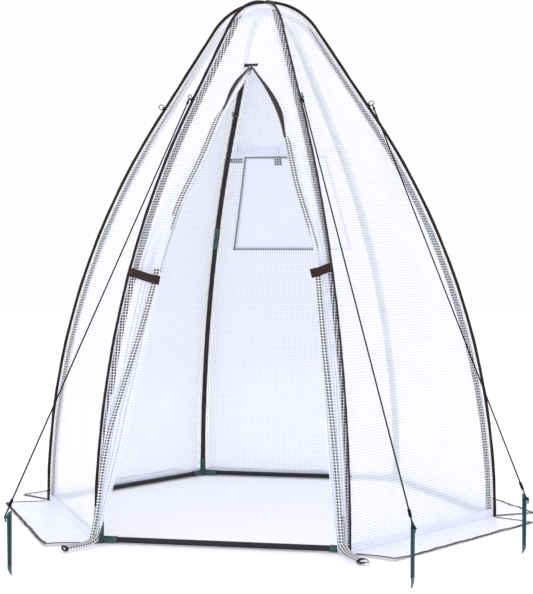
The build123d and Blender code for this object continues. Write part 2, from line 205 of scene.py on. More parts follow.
# -------------------- materials
# -------------------- materials
class Nodes:
    """A material and short names for the shader nodes it is built from."""

    def __init__(self, name, color, rough, metal=0.0, spec=0.5):
        self.mat = bpy.data.materials.new(name)
        self.mat.use_nodes = True
        self.tree = self.mat.node_tree
        self.bsdf = self.tree.nodes["Principled BSDF"]
        self.put("Base Color", (*color, 1))
        self.put("Roughness", rough)
        self.put("Metallic", metal)
        self.put("Specular IOR Level", spec)

    def put(self, socket, value):
        self.bsdf.inputs[socket].default_value = value

    def add(self, kind, **settings):
        node = self.tree.nodes.new("ShaderNode" + kind)
        for key, value in settings.items():
            setattr(node, key, value)
        return node

    def link(self, a, b):
        self.tree.links.new(a, b)

    def math(self, op, a, b=None, c=None):
        node = self.add("Math", operation=op)
        for i, v in enumerate((a, b, c)):
            if v is None:
                continue
            if isinstance(v, (int, float)):
                node.inputs[i].default_value = v
            else:
                self.link(v, node.inputs[i])
        return node.outputs[0]

    def coord(self, kind="UV"):
        return self.add("TexCoord").outputs[kind]

    def scaled(self, vector, scale):
        node = self.add("Mapping")
        node.inputs["Scale"].default_value = scale
        self.link(vector, node.inputs["Vector"])
        return node.outputs[0]

    def wave(self, vector, scale, distortion):
        node = self.add("TexWave", bands_direction="DIAGONAL")
        node.inputs["Scale"].default_value = scale
        node.inputs["Distortion"].default_value = distortion
        self.link(vector, node.inputs["Vector"])
        return node.outputs["Fac"]

    def noise(self, vector, scale, detail=2.0, rough=0.5):
        node = self.add("TexNoise")
        node.inputs["Scale"].default_value = scale
        node.inputs["Detail"].default_value = detail
        node.inputs["Roughness"].default_value = rough
        self.link(vector, node.inputs["Vector"])
        return node.outputs["Fac"]

    def ramp(self, value, lo, hi, out_lo=0.0, out_hi=1.0):
        node = self.add("MapRange")
        node.inputs["From Min"].default_value = lo
        node.inputs["From Max"].default_value = hi
        node.inputs["To Min"].default_value = out_lo
        node.inputs["To Max"].default_value = out_hi
        self.link(value, node.inputs["Value"])
        return node.outputs["Result"]

    def mix(self, fac, a, b):
        node = self.add("Mix", data_type="RGBA")
        self.link(fac, node.inputs[0])
        for socket, v in ((6, a), (7, b)):
            if isinstance(v, tuple):
                node.inputs[socket].default_value = (*v, 1)
            else:
                self.link(v, node.inputs[socket])
        return node.outputs[2]

    def color(self, out):
        self.link(out, self.bsdf.inputs["Base Color"])

    def rough(self, out):
        self.link(out, self.bsdf.inputs["Roughness"])

    def alpha(self, out):
        self.link(out, self.bsdf.inputs["Alpha"])

    def bump(self, height, strength, distance):
        node = self.add("Bump")
        node.inputs["Strength"].default_value = strength
        node.inputs["Distance"].default_value = distance
        self.link(height, node.inputs["Height"])
        self.link(node.outputs[0], self.bsdf.inputs["Normal"])

    def grid(self, vector, pitch, line):
        """Lines at a pitch in metres both ways: 1 on a line, 0 between."""
        parts = self.add("SeparateXYZ")
        self.link(vector, parts.inputs[0])
        found = []
        for axis in (0, 1):
            cell = self.math("FRACT", self.math("MULTIPLY", parts.outputs[axis], 1 / pitch))
            away = self.math("ABSOLUTE", self.math("SUBTRACT", cell, 0.5))
            edge = 0.5 - line / pitch / 2
            found.append(self.ramp(away, edge - 0.04, edge + 0.03))
        return found


# The film: a clear sheet with white threads set in it in squares.
PITCH = 0.008
THREAD = 0.0019
TINT, WHITE = (0.76, 0.77, 0.92), (0.90, 0.90, 0.97)
FILM_ROUGH = 0.34


def film_material(name, cell, thread, painted_glow=0.125):
    """The film; cell and thread are how solid it is between its threads and on them. painted_glow is painted
    light: an emission in the film's own colours, standing in for light shining through it.
    """
    m = Nodes(name, TINT, FILM_ROUGH)
    uv = m.coord()
    bent = m.add("VectorMath", operation="ADD")
    shift = m.add("CombineXYZ")
    for socket, (scale, detail) in enumerate(((14, 2), (9, 1))):
        m.link(m.ramp(m.noise(uv, scale, detail), 0.3, 0.7, -0.0006, 0.0006), shift.inputs[socket])
    m.link(uv, bent.inputs[0])
    m.link(shift.outputs[0], bent.inputs[1])
    across, along = m.grid(bent.outputs[0], PITCH, THREAD)
    line = m.math("MAXIMUM", across, along)
    haze = m.ramp(m.noise(uv, 5.5, 4, 0.6), 0.3, 0.72)
    shade = m.mix(haze, TINT, tuple(min(1.0, c * 1.07) for c in TINT))
    base = m.mix(line, shade, WHITE)
    m.color(base)
    # Painted light: the film's colours are also emitted, a glow standing in for light that shines through the
    # film.
    m.link(base, m.bsdf.inputs["Emission Color"])
    m.put("Emission Strength", painted_glow)
    clear = m.ramp(haze, 0, 1, cell * 0.9, cell * 1.12)
    mixed = m.math("MULTIPLY_ADD", line, m.math("SUBTRACT", thread, clear), clear)
    m.alpha(mixed)
    m.rough(m.ramp(m.noise(uv, 60, 2), 0.3, 0.7, FILM_ROUGH - 0.06, FILM_ROUGH + 0.12))
    fine = m.math("MULTIPLY", m.noise(uv, 160, 2), 0.35)
    m.bump(m.math("ADD", line, fine), 0.35, 0.0004)
    return m.mat


WEAVE = 0.0011
STITCH_HALF = 0.0005


def tape_material(name, color, rough=0.8, stitch=None, light=1.5):
    """Woven tape: a fine diagonal weave, faded in patches. A stitch has places, a pitch and a colour."""
    m = Nodes(name, color, rough, spec=0.25)
    uv = m.coord()
    weave = m.wave(m.scaled(uv, (1 / WEAVE, 1 / WEAVE, 1)), 0.32, 0.6)
    fade = m.ramp(m.noise(uv, 22, 4, 0.6), 0.32, 0.7)
    dark = tuple(c * 0.62 for c in color)
    pale = tuple(min(1.0, c * light) for c in color)
    base = m.mix(fade, m.mix(weave, dark, color), m.mix(weave, color, pale))
    if stitch:
        parts = m.add("SeparateXYZ")
        m.link(uv, parts.inputs[0])
        where, gap, thread = stitch
        dash = m.math("FRACT", m.math("MULTIPLY", parts.outputs[1], 1 / gap))
        on = m.math("LESS_THAN", dash, 0.62)
        rows = None
        for x in where:
            away = m.math("ABSOLUTE", m.math("SUBTRACT", parts.outputs[0], x))
            near = m.math("LESS_THAN", away, STITCH_HALF)
            rows = near if rows is None else m.math("MAXIMUM", rows, near)
        base = m.mix(m.math("MULTIPLY", rows, on), base, thread)
    m.color(base)
    m.rough(m.ramp(fade, 0, 1, rough - 0.1, min(1.0, rough + 0.08)))
    m.bump(m.math("ADD", weave, m.math("MULTIPLY", m.noise(uv, 900, 1), 0.4)), 0.5, 0.0003)
    m.put("Sheen Weight", 0.12)
    return m.mat


def dotted_material(name, dark, line):
    """Film lying on a dark tape: its white threads with the tape showing in every cell."""
    m = Nodes(name, dark, 0.5, spec=0.4)
    uv = m.coord()
    across, along = m.grid(uv, PITCH, line)
    threads = m.math("MAXIMUM", across, along)
    patchy = m.ramp(m.noise(uv, 30, 3), 0.3, 0.7)
    cell = m.mix(patchy, dark, tuple(c * 1.4 + 0.01 for c in dark))
    m.color(m.mix(threads, cell, m.mix(patchy, (0.86, 0.86, 0.92), (0.95, 0.95, 0.98))))
    m.rough(m.ramp(m.noise(uv, 80, 2), 0.3, 0.7, 0.4, 0.6))
    m.bump(m.math("ADD", threads, m.math("MULTIPLY", m.noise(uv, 200, 2), 0.3)), 0.35, 0.0004)
    return m.mat


def hard_material(name, color, rough, grain, depth, metal=0.0, wear=None, spec=0.5):
    """Moulded plastic or coated metal: an even grain, dusty patches and rubbed edges."""
    m = Nodes(name, color, rough, metal, spec)
    at = m.coord("Object")
    dust = m.ramp(m.noise(at, 11, 5, 0.65), 0.42, 0.78)
    pale = tuple(c * 0.75 + 0.07 for c in color)
    base = m.mix(m.math("MULTIPLY", dust, 0.16), color, pale)
    if wear:
        edges = m.add("NewGeometry")
        rub = m.ramp(edges.outputs["Pointiness"], 0.53, 0.6)
        scuffed = m.math("MULTIPLY", rub, m.noise(at, 70, 4))
        base = m.mix(scuffed, base, wear)
    m.color(base)
    m.rough(m.ramp(m.noise(at, 45, 3), 0.25, 0.75, max(0.05, rough - 0.08), min(1, rough + 0.14)))
    m.bump(m.noise(at, grain, 3), 0.35, depth)
    return m.mat


FILM = film_material("film", 0.66, 0.84)
FILM_FRONT = film_material("film_front", 0.72, 0.88)
FILM_NEAR = film_material("film_on_tube", 0.02, 0.94, painted_glow=0.02)
FILM_LEAF = film_material("film_gathered", 0.76, 0.92)
FILM_SKIRT = film_material("film_skirt", 0.78, 0.92)
BINDING = tape_material("binding_tape", (0.022, 0.012, 0.011), 0.85)
STRAP_TAPE = tape_material(
    "strap_tape", (0.034, 0.015, 0.013), 0.85, stitch=((0.004, 0.021), 0.0042, (0.10, 0.07, 0.065))
)
ZIPTAPE = tape_material("zip_tape", (0.040, 0.027, 0.024), 0.8, stitch=((0.002,), 0.003, (0.2, 0.18, 0.18)))
SKIRT_EDGE = tape_material("skirt_edge", (0.055, 0.045, 0.045), 0.85, light=1.8)
WEB = tape_material("webbing", (0.045, 0.046, 0.052), 0.8, light=2.2)
PATCH = tape_material("patch_tape", (0.028, 0.016, 0.014), 0.85)
DOTS = dotted_material("film_on_tape", (0.012, 0.010, 0.012), 0.0020)
DOTS_FINE = dotted_material("film_on_hem", (0.022, 0.020, 0.024), 0.0024)
DOTS_WINDOW = dotted_material("film_on_window_tape", (0.020, 0.018, 0.020), 0.0022)
TUBE = hard_material("tube_coat", (0.006, 0.009, 0.011), 0.34, 900, 0.00008, spec=0.35)
FITTING = hard_material("fitting_plastic", (0.016, 0.058, 0.055), 0.42, 700, 0.00012, wear=(0.10, 0.17, 0.17))
STAKE = hard_material("stake_plastic", (0.006, 0.045, 0.060), 0.36, 500, 0.00012, wear=(0.05, 0.14, 0.16))
LOOP = tape_material("loop_cord", (0.012, 0.012, 0.016), 0.85, light=1.6)
METAL = hard_material("zip_metal", (0.16, 0.16, 0.17), 0.3, 1200, 0.00005, metal=1.0, wear=(0.5, 0.5, 0.5))


def screen_material():
    """Fine insect netting, open between its threads, with a painted glow: its colours are emitted, standing
    in for light shining through it.
    """
    m = Nodes("insect_screen", (0.86, 0.87, 0.94), 0.6, spec=0.3)
    uv = m.coord()
    across, along = m.grid(uv, 0.0016, 0.0007)
    line = m.math("MAXIMUM", across, along)
    patchy = m.ramp(m.noise(uv, 12, 3), 0.3, 0.7)
    shade = m.mix(patchy, (0.84, 0.85, 0.94), (0.92, 0.92, 0.98))
    m.color(shade)
    # Painted light: the netting's colours are also emitted, a glow standing in for light that shines through
    # it.
    m.link(shade, m.bsdf.inputs["Emission Color"])
    m.put("Emission Strength", 0.2)
    m.alpha(m.ramp(line, 0, 1, 0.04, 0.34))
    m.bump(line, 0.4, 0.0002)
    return m.mat


SCREEN = screen_material()


def rope_material():
    """Thin black cord, twisted."""
    m = Nodes("guy_rope", (0.006, 0.007, 0.012), 0.8, spec=0.15)
    at = m.coord("Object")
    twist = m.wave(at, 90, 1.2)
    m.color(m.mix(twist, (0.004, 0.004, 0.008), (0.016, 0.016, 0.026)))
    m.bump(m.math("ADD", twist, m.noise(at, 1500, 2)), 0.6, 0.0005)
    return m.mat


ROPE = rope_material()


def floor_material():
    m = Nodes("floor", (0.93, 0.93, 0.935), 0.75, spec=0.2)
    at = m.coord("Object")
    m.color(m.mix(m.noise(at, 1.4, 3), (0.92, 0.92, 0.925), (0.95, 0.95, 0.955)))
    m.put("Emission Color", (1.0, 1.0, 1.0, 1))
    m.put("Emission Strength", 0.12)
    return m.mat


def finish(obj, material, body=None):
    """Materials, slot and body of a piece; marked faces keep the second material."""
    second = [p.index for p in obj.data.polygons if p.material_index]
    obj.data.materials.clear()
    for m in material if isinstance(material, tuple) else (material,):
        obj.data.materials.append(m)
    for i in second:
        obj.data.polygons[i].material_index = 1
    if body:
        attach(obj, body)
    return obj


ROOT = "greenhouse"
# The CAD's own pieces that keep their shape, by the start of their names.
HARD_PIECES = (
    (("base_tube", "rib_lower", "rib_upper"), TUBE),
    (("corner_fitting", "rib_sleeves", "hub"), FITTING),
    (("stake",), STAKE),
    (("zip_",), METAL),
)
for node, obj in NODES.items():
    for starts, material in HARD_PIECES:
        if node.startswith(starts):
            obj.data.materials.clear()
            obj.data.materials.append(material)

# -------------------- guy ropes
# For each rope: its top at the loop, its low end, the stake's hook (x, y), and its length.
HOOK_Z = 0.147
ROPES = {
    "left": ((-0.167245, -0.290531, 1.23533), (-0.44856, -1.03367, HOOK_Z), (-0.445, -1.035), 1.3475),
    "front": ((0.1676, -0.290344, 1.23531), (0.553699, -0.974883, HOOK_Z), (0.557, -0.973), 1.3424),
    "right": ((0.334255, -0.001828, 1.23519), (0.809189, -0.529557, HOOK_Z), (0.812, -0.527), 1.2993),
}
ROOF = math.atan(tan(radians(30)) / cos(radians(30)))
RIB_ANGLES = [radians(-120 - 60 * i) for i in range(6)]
ROPE_RIB = {"left": 0, "front": 5, "right": 4}
ROPE_WIDE = 0.004


def circle(centre, axis, radius, count=28, turns=1.0, pitch=0.0):
    """Points round an axis; with a pitch they climb along it."""
    axis = axis.normalized()
    a = axis.orthogonal().normalized()
    b = axis.cross(a)
    out = []
    for i in range(count):
        t = 2 * pi * turns * i / count
        out.append(centre + a * radius * cos(t) + b * radius * sin(t) + axis * pitch * i / count)
    return out


def rope_line(name, top, low, away):
    """The rope itself, as a curve that stays straight at both ends."""
    curve = bpy.data.curves.new(name, "CURVE")
    curve.dimensions = "3D"
    spline = curve.splines.new("NURBS")
    route = [top, top + away * 0.024, low - away * 0.024, low]
    spline.points.add(len(route) - 1)
    for point, p in zip(spline.points, route):
        point.co = (*p, 1)
    spline.order_u = 3
    spline.use_endpoint_u = True
    curve.bevel_depth = ROPE_WIDE / 2
    curve.bevel_resolution = 4
    curve.resolution_u = 12
    curve.materials.append(ROPE)
    return add_object(name, curve)


def knot_radius(t):
    """Thin at both ends of the knot, where its strand runs into the rope."""
    return 0.00178 * (0.7 + 0.3 * smooth(min(t, 1 - t) * 12))


def guy_rope(name):
    """One rope from its loop on the cover to its stake, with its eyes, knot and hitch."""
    top, low, hook, length = ROPES[name]
    top, low = Vector(top), Vector(low)
    away = (low - top).normalized()
    rope = rope_line(f"guy_rope_{name}_line", top, low, away)
    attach(rope, ROOT)
    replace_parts(rope, f"guy_rope_{name}")
    angle = RIB_ANGLES[ROPE_RIB[name]]
    out = Vector((cos(ROOF) * cos(angle), cos(ROOF) * sin(angle), sin(ROOF)))
    ring = circle(top - away * 0.0045, out, 0.0045)
    eye = tube(f"rope_{name}_loop_eye", ring, 0.00125, 8, closed=True, hint=out)
    ring = circle(Vector((*hook, HOOK_Z)), Vector((0, 0, 1)), 0.0036, 24)
    low_eye = tube(f"rope_{name}_hook_eye", ring, 0.0012, 8, closed=True)
    wound = circle(low - away * 0.028 - away * 0.0225, away, 0.00255, 66, turns=6, pitch=0.021)
    knot = tube(f"rope_{name}_knot", wound, knot_radius, 8, hint=away)
    wound = circle(top + away * 0.004, away, 0.0023, 30, turns=2.6, pitch=0.009)
    hitch = tube(f"rope_{name}_hitch", wound, 0.0015, 8, hint=away)
    extra = [finish(o, ROPE, ROOT) for o in (eye, low_eye, knot, hitch)]


for name in ROPES:
    guy_rope(name)

# -------------------- cover shape
# A side runs up in a long bend, then straight at 30 degrees, then round the crown.
COVER_A = 0.606218
BEND_R = 2.4363
CROWN_R = 0.1505
COS30 = cos(pi / 6)
T30 = tan(radians(30))
A1, Z1 = COVER_A - BEND_R + BEND_R * COS30, BEND_R * 0.5
CROWN_Z = Z1 + (A1 - CROWN_R * COS30) / T30 - CROWN_R * 0.5
S1 = BEND_R * pi / 6
S2 = S1 + (A1 - CROWN_R * COS30) / sin(pi / 6)
S3 = S2 + CROWN_R * pi / 3
FILM_TOP = S3 - 0.0082
SIDES = {"front": -90, "front_right": -30, "back_right": 30, "back": 90, "back_left": 150, "front_left": 210}
FRONT, BACK = SIDES["front"], SIDES["back"]

# Gaps between the film's edges and the seams, and where the middle of a side lies in its UVs.
FILM_INSET = 0.0003
LEAF_INSET = 0.0006
UV_MIDDLE = 0.4


def profile(s):
    """Distance out, height, and the outward tilt, at a distance s up the cover."""
    if s < S1:
        t = s / BEND_R
        return COVER_A - BEND_R + BEND_R * cos(t), BEND_R * sin(t), t
    if s < S2:
        return A1 - (s - S1) * 0.5, Z1 + (s - S1) * COS30, pi / 6
    t = pi / 6 + (s - S2) / CROWN_R
    return CROWN_R * cos(t), CROWN_Z + CROWN_R * sin(t), t


def s_at(z):
    """The distance up the cover at a height z."""
    if z < Z1:
        return BEND_R * math.asin(z / BEND_R)
    if z < Z1 + (S2 - S1) * COS30:
        return S1 + (z - Z1) / COS30
    return S2 + CROWN_R * (math.asin(min(1, (z - CROWN_Z) / CROWN_R)) - pi / 6)


def on_side(angle, s, y, lift=0.0):
    """A point on a side: s up the cover, y across it, lift out of it."""
    a, z, t = profile(s)
    a += lift * cos(t)
    z += lift * sin(t)
    n = radians(angle)
    return Vector((a * cos(n) - y * sin(n), a * sin(n) + y * cos(n), z))


def outward(angle, s, y=0.0):
    """The direction out of a side."""
    return on_side(angle, s, y, 1) - on_side(angle, s, y, 0)


def half_width(s):
    return profile(s)[0] * T30


def wrinkle(s, v, seed):
    """How far the film stands off its even curve: long folds that fade out at the seams."""
    up = smooth(s / 0.25) * smooth((S3 - 0.12 - s) / 0.3)
    side = max(0.0, 1 - v * v) ** 0.8
    long_folds = 0.0022 * sin(6.5 * v + 0.9 * sin(1.3 * s + seed) + seed * 2.1)
    long_folds += 0.0013 * sin(14.0 * v + 1.6 * s + seed * 1.3) * (0.4 + 0.6 * smooth(s / 1.2))
    soft = 0.0016 * wobble(3.1 * s + 1.2 * v, seed) + 0.0007 * wobble(9.0 * s - 4.0 * v, seed + 3)
    crease = 0.0
    for k, at in enumerate((-0.36, 0.34)):
        crease += 0.0016 * math.exp(-abs(v - at - 0.012 * sin(5 * s + k)) * half_width(s) / 0.007)
    for at in (0.43, 0.87, 1.28):
        crease -= 0.0008 * math.exp(-abs(s - at - 0.004 * sin(9 * v)) / 0.006)
    return (long_folds + soft + crease) * up * side


# The film close to a seam takes a second material; NEAR is how far that reaches, in metres.
ROWS, COLS = 110, 44
NEAR = 0.024
NEAR_OF = {"front_left": (0.075, 0.012), "front_right": (0.012, 0.038)}
BESIDE_HOLE = 13


def spread(w, near, hole=None):
    """Column places across a side, -1 to 1, three close to each seam; hole is a hole's half width."""
    lo, hi = (min(n, 0.36 * w) / w for n in near)
    rest = COLS - 6
    if hole is None:
        middle = [-1 + lo + (2 - lo - hi) * j / rest for j in range(rest + 1)]
    else:
        sides = BESIDE_HOLE - 3
        left = [-1 + lo + (1 - lo - hole) * j / sides for j in range(sides + 1)]
        inner = COLS - 2 * BESIDE_HOLE
        over = [-hole + 2 * hole * j / inner for j in range(1, inner)]
        middle = left + over + [-v for v in reversed(left)]
    return [-1, -1 + lo / 3, -1 + lo * 2 / 3] + middle + [1 - hi * 2 / 3, 1 - hi / 3, 1]


def side_film(name, angle, seed, hole, near):
    """The film of one side, foot to crown; hole gives a window's corners, low left first."""
    levels = [FILM_TOP * i / ROWS for i in range(ROWS + 1)]
    if hole:
        (_, hole_low), (low_x, _), (top_x, hole_top), _ = hole
        levels = sorted(set(levels) | {s_at(hole_low), s_at(hole_top)})
    rows, uvs, close = [], [], []
    for s in levels:
        w = half_width(s) - FILM_INSET
        opening = None
        if hole:
            t = min(max((profile(s)[1] - hole_low) / (hole_top - hole_low), 0), 1)
            opening = min((low_x + (top_x - low_x) * t) / w, 0.7)
        vs = spread(w, near, opening)
        rows.append([on_side(angle, s, v * w, wrinkle(s, v, seed)) for v in vs])
        uvs.append([(v * w + UV_MIDDLE, s) for v in vs])
        close += [j < 4 or j > COLS - 4 for j in range(COLS + 1)]

    def in_hole(i, j):
        z = profile((levels[i] + levels[i + 1]) / 2)[1]
        return hole_low < z < hole_top and BESIDE_HOLE <= j < COLS - BESIDE_HOLE

    film = loft(name, rows, uvs, skip=in_hole if hole else None)
    mark(film, close)
    return film


def foot_film(side, angle, seed):
    """The doubled film along the foot of a side."""
    rows = []
    for s in (0.0015, 0.008, 0.016, 0.024):
        w = half_width(s) - 0.001
        lifts = [0.0009 + 0.0005 * wobble(j * 0.7, seed) for j in range(41)]
        rows.append([on_side(angle, s, (2 * j / 40 - 1) * w, lift) for j, lift in enumerate(lifts)])
    return finish(loft(f"foot_hem_{side}", rows), FILM_SKIRT, ROOT)


WINDOW = [(-0.190, 0.810), (0.190, 0.810), (0.125, 1.100), (-0.125, 1.100)]
for k, (side, angle) in enumerate(SIDES.items()):
    if side == "front":
        continue
    hole = WINDOW if side == "back" else None
    film = side_film(f"film_{side}", angle, k * 1.9 + 0.7, hole, NEAR_OF.get(side, (NEAR, NEAR)))
    finish(film, (FILM, FILM_NEAR), ROOT)
    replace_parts(film, f"cover_{side}")
    foot_hem = foot_film(side, angle, k)

# -------------------- front of the cover
ZIP_TOP = 1.338
LEAF_TOP = 0.742
SIGN = {"left": -1, "right": 1}
# The free edge of a leaf's upper part: height, distance from the middle.
EDGE = {
    "left": [(1.338, 0), (1.282, 0.037), (1.245, 0.048), (1.200, 0.066), (1.067, 0.104), (0.938, 0.155),
             (0.803, 0.186), (0.742, 0.194), (0.70, 0.198)],
    "right": [(1.338, 0), (1.258, 0.060), (1.182, 0.102), (1.123, 0.122), (0.984, 0.162), (0.900, 0.195),
              (0.803, 0.232), (0.742, 0.243), (0.70, 0.247)],
}
# The gathered leaf: height, rib side, free side, gap in front of the cover, thickness at each side.
LEAF = {
    "left": [(0.742, 0.272, 0.194, 0.0035, 0.008, 0.024), (0.558, 0.303, 0.218, 0.004, 0.012, 0.026),
             (0.288, 0.330, 0.267, 0.004, 0.016, 0.028), (0.110, 0.341, 0.314, 0.005, 0.022, 0.030),
             (0.050, 0.352, 0.331, 0.010, 0.022, 0.028), (0.008, 0.360, 0.343, 0.015, 0.020, 0.026)],
    "right": [(0.742, 0.274, 0.243, 0.0035, 0.008, 0.024), (0.459, 0.317, 0.272, 0.004, 0.014, 0.028),
              (0.250, 0.334, 0.292, 0.004, 0.020, 0.030), (0.100, 0.342, 0.308, 0.004, 0.022, 0.030),
              (0.008, 0.346, 0.322, 0.005, 0.026, 0.030)],
}
# Where the folded zip tape runs down the gathered film: height, share from the rib side.
BAND = {
    "left": [(0.76, 0.90), (0.66, 0.86), (0.51, 0.67), (0.40, 0.48), (0.29, 0.24), (0.16, 0.14), (0.0, 0.40)],
    "right": [(0.76, 0.82), (0.62, 0.74), (0.51, 0.70), (0.29, 0.50), (0.15, 0.44), (0.0, 0.50)],
}
# The share of a gathered leaf next to the rib that stays flat.
FLAT = {"left": [(0.76, 0.27), (0.45, 0.24), (0.36, 0.0), (0.0, 0.0)], "right": [(0.76, 0.0), (0.0, 0.0)]}
# How far a leaf's film reaches inside its zip tape.
INSIDE = {
    "left": [(1.338, 0), (1.325, 0.008), (1.285, 0.016), (1.22, 0.011), (1.15, 0.008), (1.0, 0.006),
             (0.85, 0.003), (0.742, 0)],
    "right": [(1.338, 0), (1.2, 0.001), (0.742, 0)],
}
PLEATS = {"left": 5, "right": 6}
# How far the upper sheet stands off, so that the right one lies over the left one when closed.
OVERLAP = {"left": 0.0, "right": 0.003}
# The open zip tape: its lower end; how wide it grows, how fast, where it starts to fade and how far.
TAPE_END = {"left": 1.205, "right": 1.118}
TAPE_SHAPE = {"left": (0.0036, 3, 0.45, 0.9), "right": (0.0055, 1.8, 0.6, 0.95)}
# A strap: height and place of its start, place of its end, and how many degrees it falls.
STRAP_X, STRAP_Y = 0.2835, -0.505
STRAP = {"left": (0.742, (0.188, -0.5375), 12.5), "right": (0.757, (0.233, -0.5345), 16.0)}
OUT_FRONT = Vector((0, -1, 0))


def table_at(table, z):
    """Straight between the rows of a table whose first column falls."""
    for hi, lo in zip(table, table[1:]):
        if z >= lo[0] or lo is table[-1]:
            t = min(max((hi[0] - z) / (hi[0] - lo[0]), 0), 1)
            return [a + (b - a) * t for a, b in zip(hi[1:], lo[1:])]


def eased(table, z, reach=0.03):
    """The table's values, rounded off near its rows."""
    found = [table_at(table, z + reach * k / 3) for k in range(-3, 4)]
    return [sum(f[i] for f in found) / len(found) for i in range(len(found[0]))]


def falling(top, low, count):
    """Heights from top down to low in equal steps."""
    return [top - (top - low) * (i / count) for i in range(count + 1)]


def cover_a(z):
    return profile(s_at(z))[0]


def free_x(side, z):
    return eased(EDGE[side], z, min(0.03, max(ZIP_TOP - z, 0.0)))[0]


def front_top(rows_up=30, columns=28):
    """The closed film above the zip."""
    start = s_at(ZIP_TOP)
    rows, uvs, close = [], [], []
    for i in range(rows_up + 1):
        s = start - 0.002 + (FILM_TOP - start + 0.002) * i / rows_up
        w = half_width(s) - FILM_INSET
        near = min(NEAR, 0.25 * w) / w
        vs = [-1, -1 + near / 3, -1 + near * 2 / 3]
        middle = [-1 + near + 2 * (1 - near) * j / columns for j in range(columns + 1)]
        vs = vs + middle + [-v for v in reversed(vs)]
        row = []
        for v in vs:
            crease = 0.0014 * math.exp(-abs(abs(v) - 0.28) * w / 0.003) * smooth((S3 - 0.05 - s) / 0.1)
            row.append(on_side(FRONT, s, v * w, crease + 0.3 * wrinkle(s, v, 0.4)))
        rows.append(row)
        uvs.append([(v * w + UV_MIDDLE, s) for v in vs])
        close += [j < 4 or j > len(vs) - 5 for j in range(len(vs))]
    film = loft("film_front_top", rows, uvs)
    mark(film, close)
    finish(film, (FILM_FRONT, FILM_NEAR), ROOT)
    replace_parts(film, "cover_front")


def fold_at(side, t, z):
    """Broad folds with narrow valleys between them, 0 in a valley and 1 on a crest."""
    drift = 0.5 * wobble(z * 4.0, 3 if side == "left" else 5) * sin(pi * t)
    return smooth((1 - cos(2 * pi * PLEATS[side] * t + drift)) / 1.15)


def upper_point(side, z, t, lift=0.0):
    """A point on the flat part of a leaf: t runs from the rib's seam, 0, to the free edge, 1."""
    rib = half_width(s_at(z)) - LEAF_INSET
    x = rib + (free_x(side, z) - table_at(INSIDE[side], z)[0] - rib) * t
    k = smooth((1.05 - z) / (1.05 - LEAF_TOP))
    waves = sin(7 * t + z * 6) + 0.6 * sin(3 * z + 11 * t)
    soft = 0.0022 * sin(pi * t) * waves * smooth((ZIP_TOP - z) / 0.1)
    gather = k * k * (0.004 + 0.016 * t) * (0.5 - 0.5 * cos(2 * pi * 3 * t + 0.6))
    rise = (gather + soft) * smooth(t * 6) + 0.0035 * k + lift
    return on_side(FRONT, s_at(z), SIGN[side] * x, rise)


def tape_point(side, z, lift):
    """A point on the upper sheet where its zip tape begins."""
    inside = table_at(INSIDE[side], z)[0]
    rib = half_width(s_at(z)) - LEAF_INSET
    return upper_point(side, z, 1 - inside / (rib - free_x(side, z) + inside), lift)


def leaf_at(side, z, t):
    """The gathered leaf at a height: place across, gap in front of the cover, thickness."""
    reach = min(0.03, max(z - 0.008, 0), max(LEAF_TOP - z, 0))
    rib, free, gap, rib_thick, free_thick = eased(LEAF[side], z, reach)
    return rib + (free - rib) * t, gap, rib_thick + (free_thick - rib_thick) * t


def leaf_point(side, z, t):
    """A point on the gathered part of a leaf."""
    x, gap, thick = leaf_at(side, z, t)
    flat = table_at(FLAT[side], z)[0]
    fold = fold_at(side, max(0.0, (t - flat) / (1 - flat)), z)
    uneven = 0.90 + 0.10 * wobble(t * 7 + z * 3, 2)
    return Vector((SIGN[side] * x, -cover_a(z) - gap - thick * fold * uneven, z))


def leaf_front(side, z, t, push):
    """A point just in front of the gathered part's crests."""
    x, gap, thick = leaf_at(side, z, t)
    return Vector((SIGN[side] * x, -cover_a(z) - gap - thick - push, z))


def strip(name, centres, half, inward, uv_start=0.0, crown=0.0008):
    """A strip of film or tape lying on a surface, a little crowned, seen from the front."""
    rows, uvs, run = [], [], 0.0
    places = [2 * j / 6 - 1 for j in range(7)]
    for i, c in enumerate(centres):
        if i:
            run += (c - centres[i - 1]).length
        h = half(i / (len(centres) - 1))
        rows.append([c + inward * h * v + OUT_FRONT * crown * (1 - v * v) for v in places])
        uvs.append([(uv_start + h * v + h, run) for v in places])
    return loft(name, rows, uvs)


def thicken(obj, thick):
    """Gives a strip a real thickness."""
    obj.modifiers.new("body", "SOLIDIFY").thickness = thick
    bpy.context.view_layer.objects.active = obj
    bpy.ops.object.modifier_apply(modifier="body")


TURNS, PER_TURN = 3, 6


def upper_sheet(side):
    """The upper part of a leaf, and the flat area of its cut out to the middle of the front."""
    offset = OVERLAP[side]
    levels = falling(ZIP_TOP, 0.737, 70)
    rows, uvs, close = [], [], []
    for z in levels:
        s = s_at(z)
        w = half_width(s)
        free = free_x(side, z)
        span = w - free
        near = min(NEAR, 0.25 * span) / span
        ts = [0, near / 3, near * 2 / 3] + [near + (1 - near) * j / 37 for j in range(38)]
        row = [upper_point(side, z, t, offset * smooth(t * 5)) for t in ts]
        line = [(UV_MIDDLE - w + w * t * (0.62 + 0.38 * span / w), s) for t in ts]
        # the rest of the cut, out to the middle of the front, lies folded behind the free edge
        turn = min(free / TURNS, 0.85 * span)
        last = line[-1][0]
        for q in range(1, PER_TURN * TURNS + 1):
            u = q / PER_TURN
            back = turn * (1 - abs(u % 2 - 1))
            row.append(upper_point(side, z, 1 - back / span, offset - 0.0006 - 0.0009 * u))
            line.append((last + turn * u, s))
        rows.append(row)
        uvs.append(line)
        close += [j < 4 for j in range(len(row))]
    sheet = loft(f"front_{side}_upper", rows, uvs)
    mark(sheet, close)
    finish(sheet, (FILM_FRONT, FILM_NEAR))
    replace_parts(sheet, f"door_upper_{side}")
    cut = 0.0
    for a, b in zip(levels, levels[1:]):
        cut += (half_width(s_at(a)) + half_width(s_at(b))) / 2 * (s_at(a) - s_at(b))
    return sheet, cut


